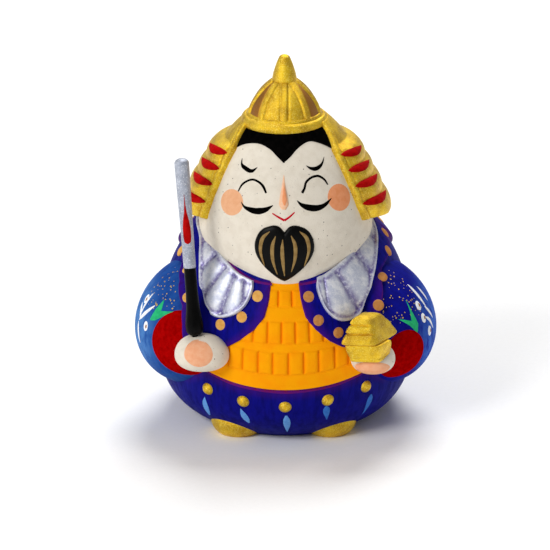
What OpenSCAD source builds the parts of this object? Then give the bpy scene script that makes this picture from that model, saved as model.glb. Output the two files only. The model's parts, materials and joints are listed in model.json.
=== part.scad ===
// Round clay daruma of an armoured guardian, with a staff and a small pagoda.
// Millimetres. +Z is up, the doll faces -Y, +X is its own left. The origin is
// the centre of the foot, on the plane that it stands on.

/* [Body] */
// Widest radius of the round body
body_r = 33; // [32:0.5:34]
// Height of the body's widest level
body_wide_z = 18; // [17:0.5:19]
// Height of the curve above the widest level
body_up_h = 39.5; // [39:0.5:41]
// Depth that the curve below the widest level would reach
body_low_h = 21.4; // [21:0.2:22.4]
// Thickness of the clay wall
wall = 3; // [2.5:0.25:3.5]

/* [Foot] */
// Inner radius of the ring foot
foot_in_r = 17; // [15:0.5:18]
// Thickness of the base slab
slab_t = 3; // [2.5:0.5:4]
// How far the slab sits above the ground
slab_lift = 0.6; // [0.4:0.1:1]
// Radius of the vent hole in the slab
vent_r = 1.7; // [1:0.1:1.8]

/* [Head] */
// Widest radius of the head
head_r = 22.4; // [22:0.2:23]
// Height of the head's widest level
head_z = 56.3; // [56:0.1:57]
// How far the head's axis stands in front of the body's
head_fwd = 7; // [6.5:0.5:7.5]
// Height of the head above its widest level
head_up_h = 30; // [29.5:0.5:31]
// Height of the head below its widest level
head_low_h = 20; // [19:0.5:21]
// Radius of the full chin
chin_r = 15.4; // [15:0.1:15.6]

/* [Helmet] */
// Outer radius of the helmet's rim
rim_r = 11.2; // [11:0.1:11.6]
// Height of the rim's lower edge
rim_z = 79.4; // [79.2:0.1:79.8]
// Height of the rim band
rim_h = 3.6; // [3.2:0.2:4]
// Radius of the bowl where it meets the rim
bowl_r = 9.6; // [9.4:0.1:10]
// Number of ribs round the bowl
ribs = 9; // [7:1:14]
// Height of the doll, to the tip of the finial
doll_h = 98.8; // [98:0.2:99.6]

/* [Dress] */
// Thickness of the coat over the body
coat_t = 1.2; // [1:0.1:1.3]
// Thickness of the breastplate over the body
plate_t = 0.6; // [0.5:0.1:0.7]
// Height of the lapels over the coat
lapel_t = 1; // [0.8:0.1:1.2]
// Radius of a sleeve, across and up
sleeve_r = 17; // [16.6:0.2:17.2]
// Half length of a sleeve, front to back
sleeve_half = 19; // [18.5:0.5:19.5]
// Distance of a sleeve's centre from the middle
sleeve_x = 22; // [21.5:0.5:22.5]

/* [Staff] */
// Diameter of the silver shaft
shaft_d = 3.4; // [3.2:0.1:3.8]
// Diameter of the black grip's rounded butt
butt_d = 4.6; // [4.3:0.1:4.8]
// Length of the staff above the fist
staff_len = 45.5; // [44:0.5:47]
// Radius of the peg that stands in the fist
peg_r = 0.8; // [0.7:0.05:0.9]
// Radial clearance of the peg in its hole
peg_gap = 0.06; // [0.05:0.01:0.1]

/* [Hidden] */
$fn = 96;

far = 60;                       // longer than anything that it cuts
curve_steps = 30;               // straight bands along a turned profile
body_n = 2.5;                   // squareness of the body's curve
head_n = 2.4;                   // squareness of the head's lower curve
head_taper = 0.28;              // how much the head narrows towards its top
head_wall = 2.6;
skirt_z = 17;                   // where the breastplate ends and the skirt begins
coat_z = 17;                    // lower edge of the coat
chin = [0, -14.5, 50.4];

navy = [0.05, 0.05, 0.5];
gold = [0.88, 0.72, 0.22];
cream = [0.9, 0.86, 0.8];
silver = [0.78, 0.78, 0.85];
red = [0.65, 0.02, 0.02];

// ---- turned forms -------------------------------------------------------

// Points of the body's curve, grown outwards by g, from the ground to the top.
function curve(t, high, low, wide) =
    [wide * pow(max(cos(t), 0), 2 / body_n),
     body_wide_z + sign(t) * (t < 0 ? low : high) * pow(abs(sin(t)), 2 / body_n)];
function ground_t(low) = -asin(pow(body_wide_z / low, body_n / 2));
function body_points(g) =
    let (low = body_low_h + g * 0.4, start = ground_t(low))
    [for (i = [0 : curve_steps])
        curve(start + (90 - start) * i / curve_steps, body_up_h + g, low, body_r + g)];

module body_form(g = 0) {
    rotate_extrude() polygon(concat([[0, 0]], body_points(g)));
}

// The hollow inside the body, closed at the height of the slab's top.
module body_hollow() {
    intersection() {
        rotate_extrude() polygon(concat([[0, 0]], body_points(-wall)));
        translate([0, 0, slab_lift + slab_t]) cylinder(r = far, h = far);
    }
}

// Points of the head's curve, grown outwards by g, from the chin to the crown.
function head_low(t, g) =
    [(head_r + g) * pow(cos(t), 2 / head_n),
     head_z - (head_low_h + g) * pow(abs(sin(t)), 2 / head_n)];
function head_up(t, g) =
    [(head_r + g) * cos(t) * (1 - head_taper * pow(sin(t), 2)),
     head_z + (head_up_h + g) * sin(t)];
function head_points(g) = concat(
    [for (i = [0 : 12]) head_low(-90 + 90 * i / 12, g)],
    [for (i = [1 : 16]) head_up(90 * i / 16, g)]);

module head_form(g = 0) {
    translate([0, -head_fwd, 0]) rotate_extrude() polygon(head_points(g));
    translate(chin) sphere(r = chin_r + g);
}

module on_head_axis(z = 0) {
    translate([0, -head_fwd, z]) children();
}

// An outline given as [x, z] points, run through the front half of the doll.
module front_prism(points) {
    rotate([90, 0, 0]) linear_extrude(height = far) polygon(points);
}

// An egg shape of radius r that reaches h each way along its own Z axis.
module egg(r, h) {
    rotate_extrude() polygon([for (t = [-90 : 6 : 90]) [max(r * cos(t), 0), h * sin(t)]]);
}

module mirrored(side) {
    if (side < 0) mirror([1, 0, 0]) children();
    else children();
}

// ---- body ---------------------------------------------------------------

module body_shell() {
    color(navy) difference() {
        body_form();
        body_hollow();
        head_form();
        skirt_studs();
        translate([0, 0, -1]) cylinder(r = foot_in_r, h = slab_lift + slab_t + 2);
    }
}

module base_slab() {
    color("peru") difference() {
        translate([0, 0, slab_lift]) cylinder(r = foot_in_r, h = slab_t);
        translate([0, 0, -1]) cylinder(r = vent_r, h = slab_t + 3);
    }
}

shoe_at = [13.4, -19.2, 3.1];
shoe_r = 6.8;
shoe_h = 3.8;
module shoe(side) {
    color(gold) difference() {
        mirrored(side) translate(shoe_at) egg(shoe_r, shoe_h);
        body_form();
        translate([-far, -far, -far]) cube([2 * far, 2 * far, far]);
    }
}

stud_r = 1.7;
stud_angles = [-39, -19.5, 0, 19.5, 39];
module skirt_studs() {
    color(gold) for (a = stud_angles)
        rotate([0, 0, a]) translate([0, -31.7, 11.6 + 0.002 * a * a]) sphere(r = stud_r);
}

// ---- chest --------------------------------------------------------------

// Right-hand edge of the coat's front opening, as [x, z] from the chin down.
opening_half = [[3.4, 60], [3.4, 44], [4, 40.7], [5.4, 36.2], [8, 33], [12, 29.6], [15, 27.5],
    [20, 26.6], [26, 27], [26, 0]];
opening = concat(opening_half,
    [for (i = [len(opening_half) - 1 : -1 : 0]) [-opening_half[i][0], opening_half[i][1]]]);

module breastplate() {
    color("orange") difference() {
        intersection() {
            body_form(plate_t);
            front_prism(opening);
            translate([0, 0, skirt_z]) cylinder(r = far, h = far);
        }
        body_form();
        head_form();
        sleeves_form();
    }
}

module coat() {
    color(navy) difference() {
        body_form(coat_t);
        body_form();
        head_form();
        front_prism(opening);
        translate([0, 0, -1]) cylinder(r = far, h = coat_z + 1);
        sleeves_form();
    }
}

// Outline of one lapel as [x, z], from the collar's end round its rounded foot.
lapel_outline = [[22, 56], [25.3, 51], [25.2, 45], [24.2, 39.6], [22.4, 36.2], [19, 34.4],
    [15.2, 34.5], [12, 36.6], [9.6, 40.4], [8.2, 43.8], [8.4, 56]];
module lapel(side) {
    color(silver) difference() {
        intersection() {
            body_form(coat_t + lapel_t);
            mirrored(side) front_prism(lapel_outline);
        }
        body_form(coat_t);
        head_form();
        sleeves_form();
    }
}

// ---- sleeves and hands --------------------------------------------------

sleeve_at = [sleeve_x, -8, 27.4];
cuff_t = 0.8;
cuff_turn = [47.5, 52.5];          // from the front, of the right and the left cuff
cuff_z = [26.2, 22.8];
cuff_r = [8.9, 7];
module sleeve_form(side, g = 0) {
    mirrored(side) translate(sleeve_at)
        rotate([90, 0, 0]) egg(sleeve_r + g, sleeve_half + g);
}

module sleeves_form() {
    sleeve_form(1);
    sleeve_form(-1);
}

module sleeve(side) {
    color([0.1, 0.25, 0.6]) difference() {
        sleeve_form(side);
        body_form();
    }
}

module cuff(side) {
    i = side < 0 ? 0 : 1;
    color(red) difference() {
        intersection() {
            sleeve_form(side, cuff_t);
            mirrored(side) rotate([0, 0, cuff_turn[i]]) translate([0, 0, cuff_z[i]])
                rotate([90, 0, 0]) cylinder(r = cuff_r[i], h = far);
        }
        sleeve_form(side);
        body_form(coat_t + lapel_t);
    }
}

fist_at = [21.6, -29.8, 26];
palm_at = [22.2, -30.2, 24.4];
module hand_form(side) {
    if (side < 0) mirrored(side) translate(fist_at) rotate([0, 90, 0]) egg(4.9, 6.9);
    else translate(palm_at) egg(6, 3.8);
}

module hand(side) {
    color(cream) difference() {
        hand_form(side);
        body_form(coat_t);
        sleeve_form(side, cuff_t);
        if (side < 0) along_staff() translate([0, 0, -peg_len - 1])
            cylinder(r = peg_r + peg_gap, h = far);
        if (side < 0) along_staff() butt_room();
        if (side > 0) translate([-far, -far, pagoda_z]) cube([2 * far, 2 * far, far]);
    }
}

// ---- staff --------------------------------------------------------------

staff_foot = [-23.1, -30.2, 30.9];
staff_lean = [-7.9, -4.2, 0];       // turns about X and Y that lean it back and out
peg_len = 5;
grip_len = 17.6;
module along_staff() {
    translate(staff_foot) rotate(staff_lean) children();
}

// Room for the rounded butt to rest on the fist.
module butt_room() {
    translate([0, 0, -0.02]) cylinder(r = butt_d, h = far);
}

module staff_grip() {
    color("black") along_staff() {
        rotate_extrude() polygon([[0, -peg_len], [peg_r, -peg_len], [peg_r, 0], [1.5, 0],
            [2.1, 0.5], [butt_d / 2, 1.8], [butt_d / 2, 3.2], [2.1, 5], [1.8, 7],
            [shaft_d / 2, grip_len], [0, grip_len]]);
    }
}

module staff_blade() {
    dome = 1.2;
    color(silver) along_staff() rotate_extrude() polygon(concat(
        [[0, grip_len], [shaft_d / 2, grip_len], [shaft_d / 2, staff_len - dome]],
        [for (t = [15 : 15 : 90]) [shaft_d / 2 * cos(t), staff_len - dome + dome * sin(t)]]));
}

// ---- pagoda -------------------------------------------------------------

pagoda_z = 26;
tower_at = [21.2, -34.8, pagoda_z];
tower_across = [4.1, -0.3];         // half of the tower's front edge, and of its side edge
tower_deep = [1.65, 2.6];
tower_h = 4.7;
eave_at = [21.3, -32.75];
tip_at = [20.2, -33];
eave_across = [4.3, -0.3];
eave_deep = [2.8, 4.75];
tier_z = [30.7, 33.5, 35.6, 38.2];  // where each roof starts, and the top
tier_low = [1, 0.8, 0.6];           // size of each roof's foot and of its top
tier_high = [0.76, 0.57, 0.2];

// A four-sided plan with these half edges, at a size.
function plan(across, deep, size = 1) =
    [for (c = [[-1, -1], [1, -1], [1, 1], [-1, 1]]) size * (c[0] * across + c[1] * deep)];

module pagoda_body() {
    color(gold) difference() {
        translate(tower_at) linear_extrude(height = tower_h) polygon(plan(tower_across, tower_deep));
        pagoda_clear();
    }
}

// Three roofs, each narrower than the one below.
module pagoda_roof() {
    color(gold) difference() {
        for (i = [0 : 2]) {
            along = (tier_z[i] - tier_z[0]) / (tier_z[3] - tier_z[0]);
            at = eave_at + along * (tip_at - eave_at);
            translate([at[0], at[1], tier_z[i]])
                linear_extrude(height = tier_z[i + 1] - tier_z[i], scale = tier_high[i] / tier_low[i])
                    polygon(plan(eave_across, eave_deep, tier_low[i]));
        }
        pagoda_clear();
    }
}

module pagoda_clear() {
    body_form(coat_t + lapel_t);
    sleeve_form(1, cuff_t);
}

// ---- head ---------------------------------------------------------------

module head_shell() {
    color(cream) difference() {
        head_form();
        head_form(-head_wall);
    }
}

// Half of the heart from its notch round the lobe to its point, as [x, z].
heart_half = [[0, 57.8], [1.2, 58.8], [3.6, 59.4], [6.1, 58.3], [7.6, 55.8], [7.7, 53.2], [6.4, 50.4],
    [3.8, 47.6], [0, 44.8]];
beard_t = 1;
module beard() {
    outline = concat(heart_half,
        [for (i = [len(heart_half) - 2 : -1 : 1]) [-heart_half[i][0], heart_half[i][1]]]);
    color("black") difference() {
        intersection() {
            head_form(beard_t);
            front_prism(outline);
        }
        head_form();
        body_form(coat_t);
    }
}

// Lip of each of the five lames as [r, z]; every lame swells out above its lip.
lips = [[12.6, 78.3], [18.9, 75.6], [20.6, 71.8], [22.5, 67.9], [24.8, 63.2], [27.2, 57.6]];
swell = 0.75;                       // share of a lame's step that it takes by half height
guard_gap = 60;                     // half angle left open for the face
guard_points = concat([[9, rim_z], [10.4, rim_z], lips[0]],
    [for (i = [1 : 5]) each [[lips[i - 1][0] + swell * (lips[i][0] - lips[i - 1][0]),
        (lips[i - 1][1] + lips[i][1]) / 2], lips[i]]],
    [[9, lips[5][1]]]);
module neck_guard() {
    color(gold) difference() {
        on_head_axis() rotate([0, 0, guard_gap - 90])
            rotate_extrude(angle = 360 - 2 * guard_gap) polygon(guard_points);
        head_form();
        body_form(coat_t + lapel_t);
    }
}

// ---- helmet -------------------------------------------------------------

finial_r = 2.6;
finial_z = 91.8;
bowl_z = rim_z + rim_h - 0.8;       // the bowl stands a little way down inside the rim
bowl_h = finial_z - bowl_z;
bowl_top_r = finial_r + 0.5;
function bowl_points(g) = concat([[0, bowl_z]],
    [for (s = [0 : 0.1 : 1.01])
        [bowl_top_r + g + (bowl_r - bowl_top_r) * pow(max(1 - s, 0), 0.85), bowl_z + bowl_h * s]],
    [[0, finial_z]]);

module helmet_rim() {
    roll = rim_h / 2;
    color(gold) difference() {
        on_head_axis() rotate_extrude() polygon(concat([[8, rim_z]],
            [for (t = [-90 : 15 : 90]) [rim_r - 1 + cos(t), rim_z + roll + roll * sin(t)]],
            [[8, rim_z + rim_h]]));
        head_form();
        on_head_axis() rotate_extrude() polygon(bowl_points(0));
    }
}

module helmet_bowl() {
    color(gold) difference() {
        on_head_axis() rotate_extrude() polygon(bowl_points(0));
        head_form();
    }
}

rib_w = 1.1;
rib_t = 0.5;
module helmet_ribs() {
    color(gold) difference() {
        on_head_axis() for (i = [0 : ribs - 1]) intersection() {
            rotate_extrude() polygon(bowl_points(rib_t));
            rotate([0, 0, -90 + i * 360 / ribs]) translate([4, -rib_w / 2, rim_z + rim_h])
                cube([far, rib_w, finial_z - rim_z - rim_h]);
        }
        on_head_axis() rotate_extrude() polygon(bowl_points(0));
    }
}

module helmet_finial() {
    neck = 1.2;
    tip_h = doll_h - finial_z - neck;
    color(gold) on_head_axis(finial_z) rotate_extrude() polygon(concat(
        [[0, 0], [finial_r + 0.4, 0], [finial_r, neck]],
        [for (t = [10 : 10 : 90]) [finial_r * pow(cos(t), 0.85), neck + tip_h * sin(t)]]));
}

// ---- assembly -----------------------------------------------------------

body_shell();
base_slab();
shoe(1);  // shoe_left
shoe(-1);  // shoe_right
skirt_studs();
breastplate();
coat();
lapel(1);  // lapel_left
lapel(-1);  // lapel_right
sleeve(1);  // sleeve_left
sleeve(-1);  // sleeve_right
cuff(1);  // cuff_left
cuff(-1);  // cuff_right
hand(1);  // hand_left
hand(-1);  // hand_right
staff_grip();
staff_blade();
pagoda_body();
pagoda_roof();
head_shell();
beard();
neck_guard();
helmet_rim();
helmet_bowl();
helmet_ribs();
helmet_finial();
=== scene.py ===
# A round clay daruma dressed as an armoured guardian, painted and gilded by hand.
# Shapes are worked out in millimetres and put into the meshes in metres.
import json
import bmesh
import bpy
import numpy as np
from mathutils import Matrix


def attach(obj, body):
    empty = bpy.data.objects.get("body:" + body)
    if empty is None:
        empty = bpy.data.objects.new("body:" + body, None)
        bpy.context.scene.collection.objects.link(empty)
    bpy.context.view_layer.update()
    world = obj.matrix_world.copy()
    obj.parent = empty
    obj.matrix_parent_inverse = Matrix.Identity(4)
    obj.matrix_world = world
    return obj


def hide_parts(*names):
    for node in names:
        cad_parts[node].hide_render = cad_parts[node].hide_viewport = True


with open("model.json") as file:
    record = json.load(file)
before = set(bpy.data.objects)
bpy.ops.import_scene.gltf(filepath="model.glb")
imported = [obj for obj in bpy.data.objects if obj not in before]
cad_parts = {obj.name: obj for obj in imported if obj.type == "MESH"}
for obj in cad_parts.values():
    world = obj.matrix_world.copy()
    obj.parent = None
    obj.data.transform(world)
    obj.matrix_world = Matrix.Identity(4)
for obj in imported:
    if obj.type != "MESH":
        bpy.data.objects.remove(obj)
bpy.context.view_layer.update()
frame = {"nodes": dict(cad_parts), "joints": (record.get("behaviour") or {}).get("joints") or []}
mm = 0.001
weldGap = 0.002                  # mm
paintThick = 0.14                # mm, a brush stroke of thick paint
luck = np.random.default_rng(7)


def smoothStep(low, high, x):    # 0 up to low, 1 from high on, an S-curve between them
    t = np.clip((x - low) / (high - low), 0, 1)
    return t * t * (3 - 2 * t)


def widerOf(a, b, k):            # the larger of two radii, blended over k mm
    h = np.clip(0.5 + 0.5 * (a - b) / k, 0, 1)
    return b + (a - b) * h + k * h * (1 - h)


# A form is a radius for every angle and height round an upright axis. Angle 0 is the
# front, and angles grow towards the doll's own left.
torso = {"radius": 33.0, "widest": 18.0, "above": 39.5, "below": 21.4, "square": 2.5,
         "sleeveX": 22.0, "sleeveY": 8.0, "sleeveZ": 27.4, "sleeveR": 17.0, "sleeveHalf": 19.0,
         "sleeveLean": 0.13}
skull = {"axisY": -7.0, "radius": 22.4, "widest": 56.3, "above": 30.0, "below": 20.0,
         "square": 2.4, "taper": 0.28, "chinForward": 7.5, "chinZ": 50.4, "chinR": 15.4, "lowest": 39.0}


def bodyRadius(a, z):            # super-ellipse above and below the widest level
    reach = np.where(z < torso["widest"], torso["below"], torso["above"])
    q = np.clip(np.abs(z - torso["widest"]) / reach, 0, 1)
    n = torso["square"]
    return torso["radius"] * np.clip(1 - q ** n, 0, None) ** (1 / n) + 0 * a


def sleeveRadius(a, z, side):    # where a level ray from the axis leaves the egg-shaped sleeve
    cx = (torso["sleeveX"] - torso["sleeveLean"] * (z - torso["sleeveZ"])) * side
    cy = torso["sleeveY"]
    rr, hh = torso["sleeveR"], torso["sleeveHalf"]
    qa = np.sin(a) ** 2 / rr ** 2 + np.cos(a) ** 2 / hh ** 2
    qb = -2 * np.sin(a) * cx / rr ** 2 - 2 * np.cos(a) * cy / hh ** 2
    qc = (cx / rr) ** 2 + (cy / hh) ** 2 + ((z - torso["sleeveZ"]) / rr) ** 2 - 1
    disc = qb * qb - 4 * qa * qc
    return np.where(disc > 0, (-qb + np.sqrt(np.maximum(disc, 0))) / (2 * qa), -50.0)


def torsoRadius(a, z):           # the body and both sleeves, blended where they meet
    r = bodyRadius(a, z)
    for side in (1, -1):
        s = sleeveRadius(a, z, side)
        r = np.where(s > 0, widerOf(s, r, 1.5), r)
    return r


def headRadius(a, z, grow=0.0):  # an egg that narrows upwards, blended with a round chin
    dz = z - skull["widest"]
    n = skull["square"]
    low = np.clip(1 - (np.clip(-dz, 0, None) / (skull["below"] + grow)) ** n, 0, None) ** (1 / n)
    s = np.clip(dz / (skull["above"] + grow), 0, 1)
    high = np.sqrt(1 - s * s) * (1 - skull["taper"] * s * s)
    r = (skull["radius"] + grow) * np.where(dz < 0, low, high)
    f = skull["chinForward"]
    disc = (f * np.cos(a)) ** 2 - f * f - (z - skull["chinZ"]) ** 2 + (skull["chinR"] + grow) ** 2
    chin = f * np.cos(a) + np.sqrt(np.maximum(disc, 0))
    return np.where(disc > 0, widerOf(chin, r, 2.0), r)


bodyForm = (bodyRadius, 0.0)
torsoForm = (torsoRadius, 0.0)
headForm = (headRadius, skull["axisY"])


def onForm(form, a, z, lift=0.0):
    # the point of a form at angle a in degrees and height z, moved outwards by lift
    radius, axisY = form
    a, z = np.broadcast_arrays(np.asarray(a, float), np.asarray(z, float))

    def at(angle, height):
        t = np.radians(angle)
        r = radius(t, height)
        return np.stack([r * np.sin(t), axisY - r * np.cos(t), height], -1)
    normal = np.cross(at(a + 0.2, z) - at(a - 0.2, z), at(a, z + 0.05) - at(a, z - 0.05))
    normal /= np.maximum(np.linalg.norm(normal, axis=-1, keepdims=True), 1e-9)
    return at(a, z) + normal * np.asarray(lift, float)[..., None], normal


def through(points, count):      # Catmull-Rom curve through the points, evenly spaced by index
    p = np.asarray(points, float)
    p = np.concatenate([[2 * p[0] - p[1]], p, [2 * p[-1] - p[-2]]])
    s = np.linspace(0, len(p) - 3 - 1e-9, count)
    i = s.astype(int)
    t = (s - i)[:, None]
    p0, p1, p2, p3 = p[i], p[i + 1], p[i + 2], p[i + 3]
    return 0.5 * (2 * p1 + (p2 - p0) * t + (2 * p0 - 5 * p1 + 4 * p2 - p3) * t ** 2
                  + (3 * p1 - p0 - 3 * p2 + p3) * t ** 3)


def evenly(count, bunch=0.6):    # 0 to 1, bunched towards both ends
    s = np.linspace(0, 1, count)
    return (1 - bunch) * s + bunch * (0.5 - 0.5 * np.cos(np.pi * s))


def loft(rings):                 # closed rings joined in order, with a fan over each end
    n, m = rings.shape[:2]
    k = np.arange(n * m).reshape(n, m)
    nxt = np.roll(k, -1, 1)
    quads = np.stack([k[:-1], nxt[:-1], nxt[1:], k[1:]], -1).reshape(-1, 4)
    fans = np.concatenate([np.stack([nxt[0], k[0], np.full(m, n * m)], -1),
                           np.stack([k[-1], nxt[-1], np.full(m, n * m + 1)], -1)])
    ends = [rings[0].mean(0)[None], rings[-1].mean(0)[None]]
    return np.concatenate([rings.reshape(-1, 3)] + ends), quads.tolist() + fans.tolist(), {}


def slab(up, down, values=None):  # two matching grids joined round their border
    n, m = up.shape[:2]
    k = np.arange(n * m).reshape(n, m)
    quads = np.stack([k[:-1, :-1], k[:-1, 1:], k[1:, 1:], k[1:, :-1]], -1).reshape(-1, 4)
    border = np.concatenate([k[0, :-1], k[:-1, -1], k[-1, :0:-1], k[:0:-1, 0]])
    nxt = np.roll(border, -1)
    wall = np.stack([nxt, border, border + n * m, nxt + n * m], -1)
    faces = np.concatenate([quads, quads[:, ::-1] + n * m, wall]).tolist()
    values = {key: np.tile(np.broadcast_to(v, (n, m)).reshape(-1), 2)
              for key, v in (values or {}).items()}
    return np.concatenate([up.reshape(-1, 3), down.reshape(-1, 3)]), faces, values


def borderDistance(p):           # straight distance of each grid point to the nearest side
    def gap(q):
        return np.linalg.norm(p - q, axis=-1)
    return np.minimum(np.minimum(gap(p[:, :1]), gap(p[:, -1:])),
                      np.minimum(gap(p[:1]), gap(p[-1:])))


def relief(form, a, z, height, sink=0.5, roundness=0.5, values=None, base=0.0):
    # a raised patch: the grid a, z lifted by height, rounded over towards its border
    flat, _ = onForm(form, a, z)
    edge = borderDistance(flat)
    drop = np.clip(1 - edge / roundness, 0, 1)
    over = np.sqrt(np.maximum(1 - drop ** 2, 0))
    up, _ = onForm(form, a, z, base + height * over)
    down, _ = onForm(form, a, z, np.full(a.shape, base - sink))
    return slab(up, down, dict(values or {}, edge=edge))


def stroke(form, path, width, lift=0.12, count=40, base=0.0, sides=10, sink=0.25):
    # one pull of the brush: an elliptic section along a curve, with its width at
    # evenly spaced stations
    c = through(path, count)
    p, normal = onForm(form, c[:, 0], c[:, 1], base)
    along = np.gradient(p, axis=0)
    along /= np.maximum(np.linalg.norm(along, axis=1, keepdims=True), 1e-9)
    across = np.cross(normal, along)
    w = np.interp(np.linspace(0, 1, count), np.linspace(0, 1, len(width)), width)[:, None, None]
    t = np.linspace(0, 2 * np.pi, sides, endpoint=False)[None, :, None]
    up = np.where(np.sin(t) > 0, lift, sink) * np.sin(t) * np.minimum(w / (4 * lift), 1)
    return loft(p[:, None] + across[:, None] * np.cos(t) * w / 2 + normal[:, None] * up)


def dab(form, a, z, rx, rz, lift=0.12, base=0.0, sides=28, rings=6, flat=4.0):
    # a flattened drop of paint with an oval outline
    q = np.linspace(0, 1, rings + 1)[1:]
    t = np.linspace(0, 2 * np.pi, sides, endpoint=False)
    x, y = rx * np.cos(t), rz * np.sin(t)
    p, n = onForm(form, a, z)
    acrossWay = np.cross([0, 0, 1], n)
    acrossWay /= np.linalg.norm(acrossWay)
    upWay = np.cross(n, acrossWay)
    spot = p + np.outer(q, x)[..., None] * acrossWay + np.outer(q, y)[..., None] * upWay
    aa, zz = np.degrees(np.arctan2(spot[..., 0], form[1] - spot[..., 1])), spot[..., 2]
    rise = lift * (1 - q ** flat)[:, None] * np.ones(sides)
    up, _ = onForm(form, aa, zz, base + rise)
    down, _ = onForm(form, aa, zz, np.full(aa.shape, base - 0.3))
    return loft(np.concatenate([up, down[::-1]]))


def turned(profile, segments=160, centre=(0, 0)):   # a profile of radius and height, spun
    t = np.linspace(0, 2 * np.pi, segments, endpoint=False)
    r, z = np.asarray(profile, float).T
    rings = np.stack([centre[0] + r[:, None] * np.cos(t), centre[1] + r[:, None] * np.sin(t),
                      z[:, None] + 0 * t], -1)
    return loft(rings)


def together(parts):             # several skins in one mesh
    points, faces, start = [], [], 0
    keys = sorted({key for part in parts for key in part[2]})
    values = {key: [] for key in keys}
    for p, f, v in parts:
        points.append(p)
        faces += [[i + start for i in face] for face in f]
        start += len(p)
        for key in keys:
            values[key].append(v.get(key, np.zeros(len(p))))
    return np.concatenate(points), faces, {key: np.concatenate(v) for key, v in values.items()}


def weldedMesh(name, points, faces, values):   # poles closed and faces turned outwards
    mesh = bpy.data.meshes.new(name)
    mesh.from_pydata((points * mm).tolist(), [], faces)
    for key, value in values.items():
        mesh.attributes.new(key, "FLOAT", "POINT").data.foreach_set("value", value)
    bm = bmesh.new()
    bm.from_mesh(mesh)
    bmesh.ops.remove_doubles(bm, verts=bm.verts, dist=weldGap * mm)
    bmesh.ops.recalc_face_normals(bm, faces=bm.faces)
    bm.to_mesh(mesh)
    bm.free()
    return mesh


def addPiece(name, parts, material, body="doll", stands=(), crease=50):
    mesh = weldedMesh(name, *together(parts if isinstance(parts, list) else [parts]))
    mesh.shade_smooth()
    mesh.set_sharp_from_angle(angle=np.radians(crease))
    mesh.materials.append(material)
    piece = bpy.data.objects.new(name, mesh)
    bpy.context.scene.collection.objects.link(piece)
    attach(piece, body)
    if stands:
        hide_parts(*stands)
    print("made", name, len(mesh.polygons), "faces")
    return piece


class Paint:                     # a node material, built up a step at a time
    def __init__(self, name, roughness=0.6, metallic=0.0, specular=0.5):
        self.material = bpy.data.materials.new(name)
        self.material.use_nodes = True
        self.tree = self.material.node_tree
        self.shader = self.tree.nodes["Principled BSDF"]
        self.shader.inputs["Roughness"].default_value = roughness
        self.shader.inputs["Metallic"].default_value = metallic
        self.shader.inputs["Specular IOR Level"].default_value = specular
        self.place = self.add("ShaderNodeTexCoord").outputs["Object"]
        self.bumpIn = None

    def add(self, kind, inputs=None, **settings):
        node = self.tree.nodes.new(kind)
        for key, value in settings.items():
            setattr(node, key, value)
        for key, value in (inputs or {}).items():
            if isinstance(value, bpy.types.NodeSocket):
                self.tree.links.new(value, node.inputs[key])
            else:
                node.inputs[key].default_value = value
        return node

    def moved(self, scale=(1, 1, 1), turn=(0, 0, 0)):
        return self.add("ShaderNodeMapping", {"Vector": self.place, "Scale": scale,
                                              "Rotation": turn}).outputs[0]

    def noise(self, size, detail=3.0, rough=0.5, place=None):   # size of a grain in mm
        return self.add("ShaderNodeTexNoise", {"Vector": place or self.place, "Detail": detail,
                        "Scale": 1 / (size * mm), "Roughness": rough}).outputs["Fac"]

    def specks(self, size, spread, chance):    # round dots of that radius, about spread apart
        cell = self.add("ShaderNodeTexVoronoi", {"Vector": self.place, "Scale": 1 / (spread * mm)})
        dot = self.between(cell.outputs["Distance"], size / spread, 0.6 * size / spread)
        pick = self.add("ShaderNodeSeparateColor", {"Color": cell.outputs["Color"]}).outputs[0]
        return self.times(dot, self.between(pick, 1 - chance, 1 - chance + 0.02))

    def attribute(self, name):
        return self.add("ShaderNodeAttribute", attribute_name=name).outputs["Fac"]

    def between(self, x, low, high, a=0.0, b=1.0):
        return self.add("ShaderNodeMapRange", {"Value": x, "From Min": low, "From Max": high,
                        "To Min": a, "To Max": b}, interpolation_type="SMOOTHSTEP").outputs[0]

    def sums(self, operation, a, b):
        return self.add("ShaderNodeMath", {0: a, 1: b}, operation=operation).outputs[0]

    def times(self, a, b):
        return self.sums("MULTIPLY", a, b)

    def blend(self, amount, a, b):
        return self.add("ShaderNodeMix", {0: amount, 6: a, 7: b}, data_type="RGBA").outputs[2]

    def feed(self, name, socket):
        self.tree.links.new(socket, self.shader.inputs[name])
        return self

    def colour(self, socket):
        return self.feed("Base Color", socket)

    def bump(self, height, depth):             # depth in mm
        inputs = {"Height": height, "Distance": depth * mm}
        if self.bumpIn:
            inputs["Normal"] = self.bumpIn
        self.bumpIn = self.add("ShaderNodeBump", inputs).outputs[0]
        self.feed("Normal", self.bumpIn)
        return self


def rgb(hexCode):                # a screen colour as linear light
    c = np.array([int(hexCode[i:i + 2], 16) for i in (0, 2, 4)]) / 255
    c = np.where(c <= 0.04045, c / 12.92, ((c + 0.055) / 1.055) ** 2.4)
    return (*[float(v) for v in c], 1.0)


def bareClay(name, light, dark, speck="4A3A30"):   # unglazed clay with two sizes of specks
    p = Paint(name, roughness=0.82, specular=0.1)
    tone = p.blend(p.between(p.noise(2.2, 4), 0.35, 0.7), rgb(light), rgb(dark))
    tone = p.blend(p.times(p.specks(0.17, 1.2, 0.35), 0.95), tone, rgb(speck))
    tone = p.blend(p.times(p.specks(0.09, 0.6, 0.3), 0.4), tone, rgb(speck))
    p.colour(tone)
    return p.bump(p.noise(0.35, 4, 0.6), 0.09).bump(p.noise(3.0, 2), 0.08).material


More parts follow.
